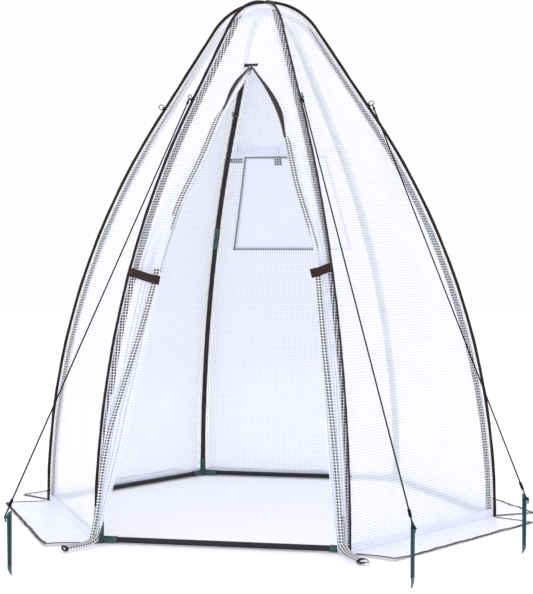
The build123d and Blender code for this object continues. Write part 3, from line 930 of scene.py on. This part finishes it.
def open_zip(side):
    """Zip tape and teeth near the top, then the tape folded under, showing as dots in a hem."""
    offset, end = OVERLAP[side], TAPE_END[side]
    inward = Vector((SIGN[side], 0, 0))
    grow, speed, fade_at, fade = TAPE_SHAPE[side]

    def tape_half(t):
        return 0.0022 + grow * smooth(t * speed) * (1 - smooth((t - fade_at) / (1 - fade_at)) * fade)

    def hem_half(t):
        return 0.0078 * smooth(t * 5 + 0.12)

    levels = falling(ZIP_TOP - 0.003, end, 30)
    line = [tape_point(side, z, offset + 0.0022) + inward * tape_half(i / 30) for i, z in enumerate(levels)]
    tape = finish(strip(f"zip_tape_{side}", line, tape_half, inward), ZIPTAPE)
    thicken(tape, 0.0008)
    line = [tape_point(side, z, offset + 0.0026) for z in levels]
    teeth = tube(f"zip_teeth_{side}", line, lambda t: 0.0013 * (1 - 0.5 * t), 8, hint=OUT_FRONT)
    finish(teeth, WEB)
    line = []
    for i, z in enumerate(falling(end + 0.045, 0.739, 60)):
        line.append(tape_point(side, z, offset + 0.0016) + inward * (hem_half(i / 60) + 0.0008))
    hem = finish(strip(f"hem_{side}_upper", line, hem_half, inward, 0.0004), DOTS_FINE)
    thicken(hem, 0.0006)
    return hem, tape, teeth


def upper_leaf(side):
    """A leaf above its strap, from the rib's seam to its free edge: its sheet, open zip tape, teeth and hem,
    each with its placement baked into its mesh.
    """
    sheet, cut = upper_sheet(side)
    hem, tape, teeth = open_zip(side)
    for piece in (sheet, hem, tape, teeth):
        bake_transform(piece)


FOLDS = 90


def gathered_leaf(side):
    """The film of a leaf under its strap, with its folded zip tape running down it."""
    body = f"door_leaf_{side}"
    rows, uvs, close = [], [], []
    for z in falling(LEAF_TOP, 0.009, 70):
        seam = half_width(s_at(z))
        flat = table_at(FLAT[side], z)[0]
        row = [leaf_point(side, z, j / FOLDS) for j in range(FOLDS + 1)]
        run, line = UV_MIDDLE - abs(row[0].x), []
        for j, p in enumerate(row):
            if j:
                run += (p - row[j - 1]).length
            line.append((run, s_at(z)))
        rows.append(row)
        uvs.append(line)
        close += [flat > 0.1 and j / FOLDS <= flat and seam - abs(p.x) < 0.021 for j, p in enumerate(row)]
    leaf = loft(f"leaf_{side}", rows, uvs)
    mark(leaf, close)
    finish(leaf, (FILM_LEAF, FILM_NEAR), body)
    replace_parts(leaf, body)
    line = []
    for z in falling(0.752, 0.014, 70):
        p = leaf_front(side, min(z, LEAF_TOP), eased(BAND[side], z)[0], 0.0012)
        line.append(p + Vector((0, 0, max(z - LEAF_TOP, 0))))

    def half(t):
        return 0.0078 - 0.0016 * smooth(t * 1.2)

    hem = strip(f"hem_{side}_lower", line, half, Vector((SIGN[side], 0, 0)), 0.0004, 0.0015)
    finish(hem, DOTS_FINE, body)
    return leaf, hem


def tail_path(side):
    """The middle of a tail: down behind the leaf's crests, then out over the floor."""
    sign = SIGN[side]
    start = leaf_front(side, 0.06, 0.5, -0.012)
    path = [
        start + Vector((0, 0, 0.045)),
        start,
        Vector((start.x + sign * 0.003, start.y - 0.006, 0.030)),
        Vector((sign * 0.346, -0.657, 0.0155)),
        Vector((sign * 0.361, -0.681, 0.0105)),
        Vector((sign * 0.380, -0.707, 0.0097)),
        Vector((sign * 0.399, -0.7315, 0.0095)),
    ]
    fine = []
    for i in range(len(path) - 1):
        p0, p1, p2, p3 = path[max(i - 1, 0)], path[i], path[i + 1], path[min(i + 2, len(path) - 1)]
        for k in range(5):
            t = k / 5
            square = (2 * p0 - 5 * p1 + 4 * p2 - p3) * t * t
            cube = (3 * p1 - p0 - 3 * p2 + p3) * t * t * t
            fine.append(0.5 * (2 * p1 + (p2 - p0) * t + square + cube))
    return fine + [path[-1]]


ROLL = 48


def rolled_tail(side):
    """A leaf's tail, rolled up and bound at its end."""
    sign = SIGN[side]
    body = f"door_leaf_{side}"
    path = tail_path(side)
    rows, dotted = [], []
    for i, (p, across, up) in enumerate(frames_along(path, Vector((0.8 * sign, 0.6, 0.0)))):
        f = i / (len(path) - 1)
        half_wide = 0.0105 + 0.006 * smooth(f * 1.6)
        half_high = 0.0085 - 0.0008 * smooth(f * 1.5)
        row = []
        for k in range(ROLL + 1):
            g = k / ROLL
            a = sign * (g * 2 * pi * 1.6 + 0.5)
            size = (1 - 0.5 * g) * (1 + 0.05 * wobble(g * 12 + f * 5, 3))
            row.append(p + across * half_wide * size * cos(a) + up * half_high * size * sin(a))
            dotted.append(0.02 < g < 0.30)
        rows.append(row)
    tail = loft(f"leaf_{side}_tail", rows)
    mark(tail, dotted)
    finish(tail, (FILM_LEAF, DOTS), body)
    away = (path[-1] - path[-2]).normalized()
    end = rows[-1]
    line = [p - away * 0.001 for p in end]
    bound = tube(f"leaf_{side}_tail_binding", line, 0.0014, 8, hint=away, flat=2.2)
    finish(bound, BINDING, body)
    if side == "right":
        tail_point(end[2], end[12], path[-1] + away * 0.014 + Vector((0.012, 0.004, 0.0)), body)
    return tail, bound


def tail_point(a, b, tip, body):
    """The bound corner of film that sticks out of the right tail."""
    a_tip = (a + tip) / 2 + Vector((0, 0, 0.002))
    b_tip = (b + tip) / 2 - Vector((0, 0, 0.001))
    point = tube("leaf_right_tail_point", [a, a_tip, tip, b_tip, b], 0.0012, 8)
    rows = [
        [a, a_tip, tip],
        [(a + b) / 2, (a + b + tip * 2) / 4, tip - Vector((0, 0, 0.0004))],
        [b, b_tip, tip - Vector((0, 0, 0.0008))],
    ]
    fill = loft("leaf_right_tail_flap", rows)
    finish(point, BINDING, body)
    finish(fill, FILM_LEAF, body)


def lower_leaf(side):
    """A leaf below its strap: the gathered film and its tail."""
    leaf, hem = gathered_leaf(side)
    tail, bound = rolled_tail(side)


def leaf_web(side):
    """The narrow film between the rib's seam and the gathered leaf."""
    sign = SIGN[side]
    rows, uvs = [], []
    for z in falling(0.748, 0.006, 40):
        seam = half_width(s_at(z)) - LEAF_INSET
        inner = min(table_at(LEAF[side], min(z, LEAF_TOP))[0] - 0.012, seam - 0.006)
        row, line = [], []
        for t in (0, 0.25, 0.5, 0.75, 1.0):
            x, lift = seam + (inner - seam) * t, 0.0012 + 0.0016 * t
            row.append(Vector((sign * x, -cover_a(z) - lift, z)))
            line.append((UV_MIDDLE - seam + (seam - inner) * t, s_at(z)))
        rows.append(row)
        uvs.append(line)
    web = loft(f"front_{side}_web", rows, uvs)
    finish(web, FILM_NEAR)
    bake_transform(web)


def stitch(name, at, along, half, face):
    return tube(name, [at - along * half, at, at + along * half], 0.0003, 5, hint=face)


def strap_stitches(side, end, run, tall, face):
    """Two rows of stitches along the strap's folded end and one across it."""
    made = []
    for k in (-1, 1):
        for i in range(9):
            at = end - run * (0.0165 - 0.0165 * i / 8) + face * 0.0025 + tall * 0.0088 * k
            made.append(stitch(f"s{k}{i}", at, run, 0.0007, face))
    for i in range(7):
        at = end - run * 0.0165 + face * 0.0025 + tall * (0.0075 - 0.015 * i / 6)
        made.append(stitch(f"t{i}", at, tall, 0.0008, face))
    return finish(join(f"strap_{side}_stitches", made), WEB)


def leaf_strap(side):
    """The strap that ties a leaf back, with its folded and stitched end."""
    sign = SIGN[side]
    z, (x_end, y_end), drop = STRAP[side]
    length = sqrt((x_end - STRAP_X) ** 2 + (y_end - STRAP_Y) ** 2) / cos(radians(drop))
    start = Vector((sign * STRAP_X, STRAP_Y, z))
    end = Vector((sign * x_end, y_end, z - length * sin(radians(drop))))
    run = (end - start).normalized()
    tall = across_from(Vector((0, 0, 1)), run)
    face = run.cross(tall)
    if face.y > 0:
        face = -face
    line = []
    for i in range(23):
        t = i / 22
        sag = Vector((0, 0, 0.0008 * sin(7 * t)))
        line.append(start + (end - start) * t + face * 0.0016 * sin(pi * t) + sag)
    strap = ribbon(f"strap_{side}", line, tall, face, lambda t: 0.0245 - 0.001 * sin(pi * t), 0.0018)
    finish(strap, STRAP_TAPE)
    line = [end - run * (0.018 - 0.019 * i / 5) + face * 0.0016 for i in range(6)]
    tip = ribbon(f"strap_{side}_end", line, tall, face, 0.0246, 0.0014)
    finish(tip, STRAP_TAPE)
    for piece in (strap, tip, strap_stitches(side, end, run, tall, face)):
        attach(piece, f"door_tie_{side}")
    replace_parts(strap, f"door_tie_{side}")


front_top()
for side in ("left", "right"):
    upper_leaf(side)
    lower_leaf(side)
    leaf_web(side)
    leaf_strap(side)

# -------------------- seam bindings
FOOT = 0.7003
OFFSET = 0.946
ACROSS, UP = cos(ROOF), sin(ROOF)
BIND_R = (OFFSET - FOOT * ACROSS) / (1 - ACROSS)
TOP_Z = 1.55465
BCROWN_R = (OFFSET / UP - TOP_Z) / (1 / UP - 1)
BCROWN_Z = TOP_Z - BCROWN_R
BIND_STEPS = 130
BIND_WIDE = 0.009
# The outline of a binding: how far out of the seam, how far to its side.
BIND_RING = (
    (-0.0005, -0.0014), (0.003, -0.00125), (0.006, -0.0012), (0.0082, -0.0012), (0.0090, -0.0006),
    (0.0090, 0.0006), (0.0082, 0.0012), (0.006, 0.0012), (0.003, 0.00125), (-0.0005, 0.0014),
)


def binding_line(w, t):
    """A point (r, z) on the binding, w out of the seam, t from 0 at the foot to 1 at the crown."""
    low = (BIND_R + w) * ROOF
    end_r, end_z = (BCROWN_R + w) * ACROSS, BCROWN_Z + (BCROWN_R + w) * UP
    start_r, start_z = FOOT - BIND_R + (BIND_R + w) * ACROSS, (BIND_R + w) * UP
    mid = math.hypot(end_r - start_r, end_z - start_z)
    last = pi / 2 - math.asin(0.004 / (BCROWN_R + w))
    s = t * (low + mid + (BCROWN_R + w) * (last - ROOF))
    if s < low:
        a = s / (BIND_R + w)
        return FOOT - BIND_R + (BIND_R + w) * cos(a), (BIND_R + w) * sin(a)
    if s < low + mid:
        k = (s - low) / mid
        return start_r + (end_r - start_r) * k, start_z + (end_z - start_z) * k
    a = ROOF + (s - low - mid) / (BCROWN_R + w)
    return (BCROWN_R + w) * cos(a), BCROWN_Z + (BCROWN_R + w) * sin(a)


def binding(n, angle):
    """The tape sewn over one seam, a little uneven along its free edge."""
    c, s = cos(angle), sin(angle)
    rows = []
    for i in range(BIND_STEPS + 1):
        t = i / BIND_STEPS
        shift = 0.0006 * wobble(i * 0.9, n) * smooth(t * 30) * smooth((1 - t) * 12)
        wave = 0.0007 * wobble(i * 0.45, n + 5)
        ring = []
        for w, side in BIND_RING:
            r, z = binding_line(max(w + wave * smooth(w / BIND_WIDE), 0.0), t)
            side += shift * smooth(w / BIND_WIDE)
            ring.append(Vector((r * c - side * s, r * s + side * c, z)))
        rows.append(ring)
    tape = finish(loft(f"binding_{n + 1}", rows, ring=True, caps=True), BINDING, ROOT)
    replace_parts(tape, "seam_bindings")


for n, angle in enumerate(RIB_ANGLES):
    binding(n, angle)


def crown_round():
    """A stitched round of tape over the meeting seams."""
    rings = []
    for r in (0.0005, 0.004, 0.008, 0.0125, 0.0150, 0.0160, 0.0158, 0.0150):
        top = 0.0011 if r < 0.0155 else 0.0006
        z = CROWN_Z + CROWN_R + 0.0008 + (top if len(rings) < 6 else -0.0002)
        z += 0.0004 * cos(r / 0.016 * pi / 2)
        turns = [2 * pi * k / 48 for k in range(48)]
        rings.append([Vector((r * cos(a), r * sin(a), z + 0.00025 * sin(6 * a))) for a in turns])
    crown = finish(loft("crown_round", rings, ring=True, caps=True), PATCH, ROOT)
    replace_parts(crown, "crown_patch")


crown_round()

# -------------------- loops and frame ties
LOOP_EDGE = OFFSET + BIND_WIDE
LOOP_Z = 1.240
RIB_LINE = (0.685 - 2.1418) * ACROSS + 2.1418
# The outline of a tie round a rib: radius, and height along the rib.
TIE_RING = ((0.00812, -0.0037), (0.0090, -0.0039), (0.0091, 0.0), (0.0090, 0.0039), (0.00812, 0.0037))


def roof_place(offset, angle):
    """A point above or on a rib at the loops' height, and the directions out, up and sideways there."""
    s = (LOOP_Z - offset * UP) / ACROSS
    r = offset * ACROSS - s * UP
    c, sn = cos(angle), sin(angle)
    out = Vector((ACROSS * c, ACROSS * sn, UP))
    up = Vector((-UP * c, -UP * sn, ACROSS))
    return Vector((r * c, r * sn, LOOP_Z)), out, up, out.cross(up)


def rope_loop(n, angle):
    """A ring of cord and the folded tape that holds it on the seam."""
    p, out, up, side = roof_place(LOOP_EDGE, angle)
    ring = circle(p + out * 0.009, side, 0.00725, 36)
    made = [tube(f"l{n}", ring, 0.00122, hint=side, closed=True)]
    for k in (-1, 1):
        wing = [p + out * x + side * k * 0.00178 for x in (-0.0058, -0.003, 0.0, 0.0016)]
        made.append(ribbon(f"w{n}{k}", wing, up, side, 0.012, 0.0009))
    cap = [p + out * 0.0018 + side * x for x in (-0.0020, 0.0, 0.0020)]
    made.append(ribbon(f"c{n}", cap, up, out, 0.0118, 0.0009))
    return made


def rib_tie(n, angle):
    """A band round the rib and the tab that joins it to the seam."""
    p, out, up, side = roof_place(RIB_LINE, angle)
    rows = []
    for k in range(33):
        a = 2 * pi * k / 32 + 0.2
        d = out * cos(a) + side * sin(a)
        rough = 0.00012 * sin(5 * a)
        rows.append([p + d * (r + rough) + up * h for r, h in TIE_RING])
    tab = [p + out * x for x in (0.0090, 0.0100, 0.0111)]
    return [loft(f"b{n}", rows, ring=True), ribbon(f"t{n}", tab, up, side, 0.0078, 0.0026)]


loops, ties = [], []
for n, angle in enumerate(RIB_ANGLES):
    loops += rope_loop(n, angle)
    ties += rib_tie(n, angle)
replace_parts(finish(join("rope_loops", loops), LOOP, ROOT), "guy_loops")
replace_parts(finish(join("rib_ties", ties), WEB, ROOT), "frame_ties")

# -------------------- skirts
SKIRT_IN = COVER_A + 0.002
SKIRT_HALF = 0.342
SKIRT_OUT = 0.1375


def skirt_lift(y, out, k):
    """Height of a skirt over the floor: it lies down but stays a little crinkled."""
    edge = smooth(out / 0.12)
    broad = 0.0022 * abs(wobble(y * 17, k)) * edge
    fine = 0.0010 * abs(wobble(y * 60 + out * 20, k + 2)) * edge
    corner = smooth((abs(y) - 0.27) / 0.08) * edge
    return 0.0010 + broad + fine + 0.005 * corner * (0.5 + 0.5 * sin(k * 2.3 + (2 if y > 0 else 0)))


def skirt(side, angle, k):
    """The film that lies on the ground beside one side, with tape round its free edges."""
    a = radians(angle)
    n, t = Vector((cos(a), sin(a), 0)), Vector((-sin(a), cos(a), 0))

    def on_floor(y, out, extra=0.0):
        shy = 0.0014 * wobble(y * 30, k + 7) * smooth(out / 0.14)
        return n * (SKIRT_IN + out + shy) + t * y + Vector((0, 0, 0.0003 + skirt_lift(y, out, k) + extra))

    places = [SKIRT_HALF * (2 * j / 72 - 1) for j in range(73)]
    rows = [[on_floor(y, SKIRT_OUT * i / 12) for y in places] for i in range(13)]
    for p in rows[0]:
        p.z = 0.0008
    film = loft(f"skirt_film_{side}", rows)
    finish(film, FILM_SKIRT, f"skirt_{side}")
    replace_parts(film, f"skirt_{side}")

    # the tape runs out along one end, across the outer edge and back in along the other end
    edge = [(-SKIRT_HALF, SKIRT_OUT * i / 10, t) for i in range(1, 10)]
    edge += [(-SKIRT_HALF, SKIRT_OUT, t - n)]
    edge += [(SKIRT_HALF * (2 * j / 60 - 1), SKIRT_OUT, -n) for j in range(1, 60)]
    edge += [(SKIRT_HALF, SKIRT_OUT, -t - n)]
    edge += [(SKIRT_HALF, SKIRT_OUT * (1 - i / 10), -t) for i in range(1, 10)]
    centre = [on_floor(y, out, 0.0004) for y, out, _ in edge]
    inward = [direction for _, _, direction in edge]
    tape = ribbon(f"skirt_edge_{side}", centre, inward, Vector((0, 0, 1)), 0.0095, 0.0012)
    finish(tape, SKIRT_EDGE, f"skirt_{side}")


for k, (side, angle) in enumerate(SIDES.items()):
    if side != "front":
        skirt(side, angle, k)

# -------------------- window
def panel(name, corners, lift, rows=26, cols=30, seed=1.0, ripple=0.0008):
    """A sheet on the back between four corners, low left first; also its rows of points."""
    (xl0, z0), (xr0, _), (xr1, z1), (xl1, _) = corners
    out = []
    for i in range(rows + 1):
        t = i / rows
        s = s_at(z0) + (s_at(z1) - s_at(z0)) * t
        row = []
        for j in range(cols + 1):
            v = j / cols
            x = (xl0 + (xl1 - xl0) * t) * (1 - v) + (xr0 + (xr1 - xr0) * t) * v
            rise = ripple * wobble(v * 6 + t * 5, seed) * sin(pi * v) * smooth(t * 4 + 0.3)
            row.append(on_side(BACK, s, x, lift + rise))
        out.append(row)
    return loft(name, out), out


def border(name, rows, width, lift, material, body, inset=0.004):
    """Tapes sewn along the four edges of a panel."""
    edges = {
        "left": ([r[0] for r in rows], [r[1] for r in rows]),
        "right": ([r[-1] for r in rows], [r[-2] for r in rows]),
        "low": (rows[0], rows[1]),
        "top": (rows[-1], rows[-2]),
    }
    made = []
    for key, (line, inner) in edges.items():
        centre, wide, outs = [], [], []
        for p, q in zip(line, inner):
            a = (q - p).normalized()
            o = across_from(Vector((0, cos(0.3), sin(0.3))), a)
            centre.append(p + a * inset + o * lift)
            wide.append(a)
            outs.append(o)
        made.append(ribbon(f"{name}_{key}", centre, wide, outs, width, 0.0007))
    return finish(join(name, made), material, body)


def corners(low_x, low_z, top_x, top_z):
    return [(-low_x, low_z), (low_x, low_z), (top_x, top_z), (-top_x, top_z)]


screen, rows = panel("window_mesh", corners(0.204, 0.799, 0.136, 1.109), -0.0019, seed=2.2, ripple=0.0004)
finish(screen, SCREEN, ROOT)
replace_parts(screen, "window_screen")
screen_edge = border("window_mesh_edge", rows, 0.009, -0.0008, DOTS_WINDOW, ROOT)

flap, rows = panel("window_flap_film", corners(0.206, 0.796, 0.136, 1.1075), 0.0025, seed=4.0, ripple=0.0012)
finish(flap, FILM_LEAF, "window_flap")
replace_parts(flap, "window_flap")
flap_edge = border("window_flap_edge", rows, 0.010, 0.0007, FILM_SKIRT, "window_flap", inset=0.005)

band, _ = panel(
    "window_band_film", corners(0.172, 1.112, 0.158, 1.145), 0.0009, rows=5, seed=5.0, ripple=0.0002
)
finish(band, FILM_SKIRT, ROOT)
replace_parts(band, "window_band")

# Dark tape behind the film, showing as dots: place across, width, lower and upper height, material.
TABS = {"left": (0.174, 0.060, 1.0900, 1.1045, DOTS_FINE), "right": (0.0245, 0.024, 1.0815, 1.1085, DOTS)}
for key, (x, wide, z_low, z_high, paint) in TABS.items():
    s0, s1 = s_at(z_low), s_at(z_high)
    grid = []
    for i in range(5):
        s = s0 + (s1 - s0) * i / 4
        lifts = [-0.0042 - 0.0003 * sin(i + j) for j in range(7)]
        grid.append([on_side(BACK, s, x + wide * (j / 6 - 0.5), lift) for j, lift in enumerate(lifts)])
    tab = loft(f"window_tab_{key}", grid)
    tab.modifiers.new("body", "SOLIDIFY").thickness = 0.0008
    finish(tab, paint, ROOT)

window_ties = []
for k, x in enumerate((0.155, 0.020)):
    s0, s1 = s_at(1.114), s_at(1.143)
    centre = [on_side(BACK, s0 + (s1 - s0) * i / 8, x, 0.0022 + 0.0003 * sin(3 * i)) for i in range(9)]
    window_ties.append(ribbon(f"x{k}", centre, Vector((1, 0, 0)), outward(BACK, s0, x), 0.012, 0.0011))
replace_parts(finish(join("window_tie_tapes", window_ties), STRAP_TAPE, ROOT), "window_ties")

# -------------------- patch over the zip's top
PATCH_HALF = 0.020
s0 = s_at(1.342)
centre = []
for i in range(17):
    y = -PATCH_HALF + 2 * PATCH_HALF * i / 16
    centre.append(on_side(FRONT, s0 + 0.0002 * sin(i), y, 0.0009 + 0.0002 * sin(i * 1.3)))
up_roof = (on_side(FRONT, s0 + 0.01, 0) - on_side(FRONT, s0, 0)).normalized()


def patch_width(t):
    """Wider at both ends."""
    return 0.0105 + 0.004 * smooth(abs(t - 0.5) * 2.4 - 0.6)


patch = ribbon("zip_patch", centre, up_roof, outward(FRONT, s0), patch_width, 0.0014)
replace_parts(finish(patch, PATCH, ROOT), "zip_top_patch")

# -------------------- floor and light
FLOOR_HALF = 12
FLOOR_Z = -0.0006
around = [(-1, -1), (1, -1), (1, 1), (-1, 1)]
floor = mesh(
    "floor",
    [(x * FLOOR_HALF, y * FLOOR_HALF, FLOOR_Z) for x, y in around],
    [(0, 1, 2, 3)],
    [((x + 1) * FLOOR_HALF, (y + 1) * FLOOR_HALF) for x, y in around],
    rounded=False,
)
floor.data.materials.append(floor_material())


def area_light(name, at, aim, size, power, color=(1, 1, 1)):
    data = bpy.data.lights.new(name, "AREA")
    data.shape = "RECTANGLE"
    data.size, data.size_y = size
    data.energy = power
    data.color = color
    obj = add_object(name, data)
    obj.location = at
    obj.rotation_mode = "QUATERNION"
    obj.rotation_quaternion = (Vector(aim) - Vector(at)).to_track_quat("-Z", "Y")


area_light("key", (-2.6, -3.4, 3.6), (0, 0, 0.7), (2.6, 2.6), 26)
area_light("fill", (3.6, -2.2, 2.0), (0, 0, 0.7), (2.6, 2.6), 8, (0.97, 0.98, 1.0))
area_light("rim", (0.8, 3.6, 3.2), (0, 0, 0.8), (3.0, 2.0), 32, (0.96, 0.97, 1.0))
world = bpy.data.worlds.new("studio")
world.use_nodes = True
sky = world.node_tree.nodes["Background"].inputs
sky["Color"].default_value = (0.985, 0.99, 1.0, 1)
sky["Strength"].default_value = 1.0
scene.world = world
scene.view_settings.view_transform = "Standard"

bpy.context.view_layer.update()
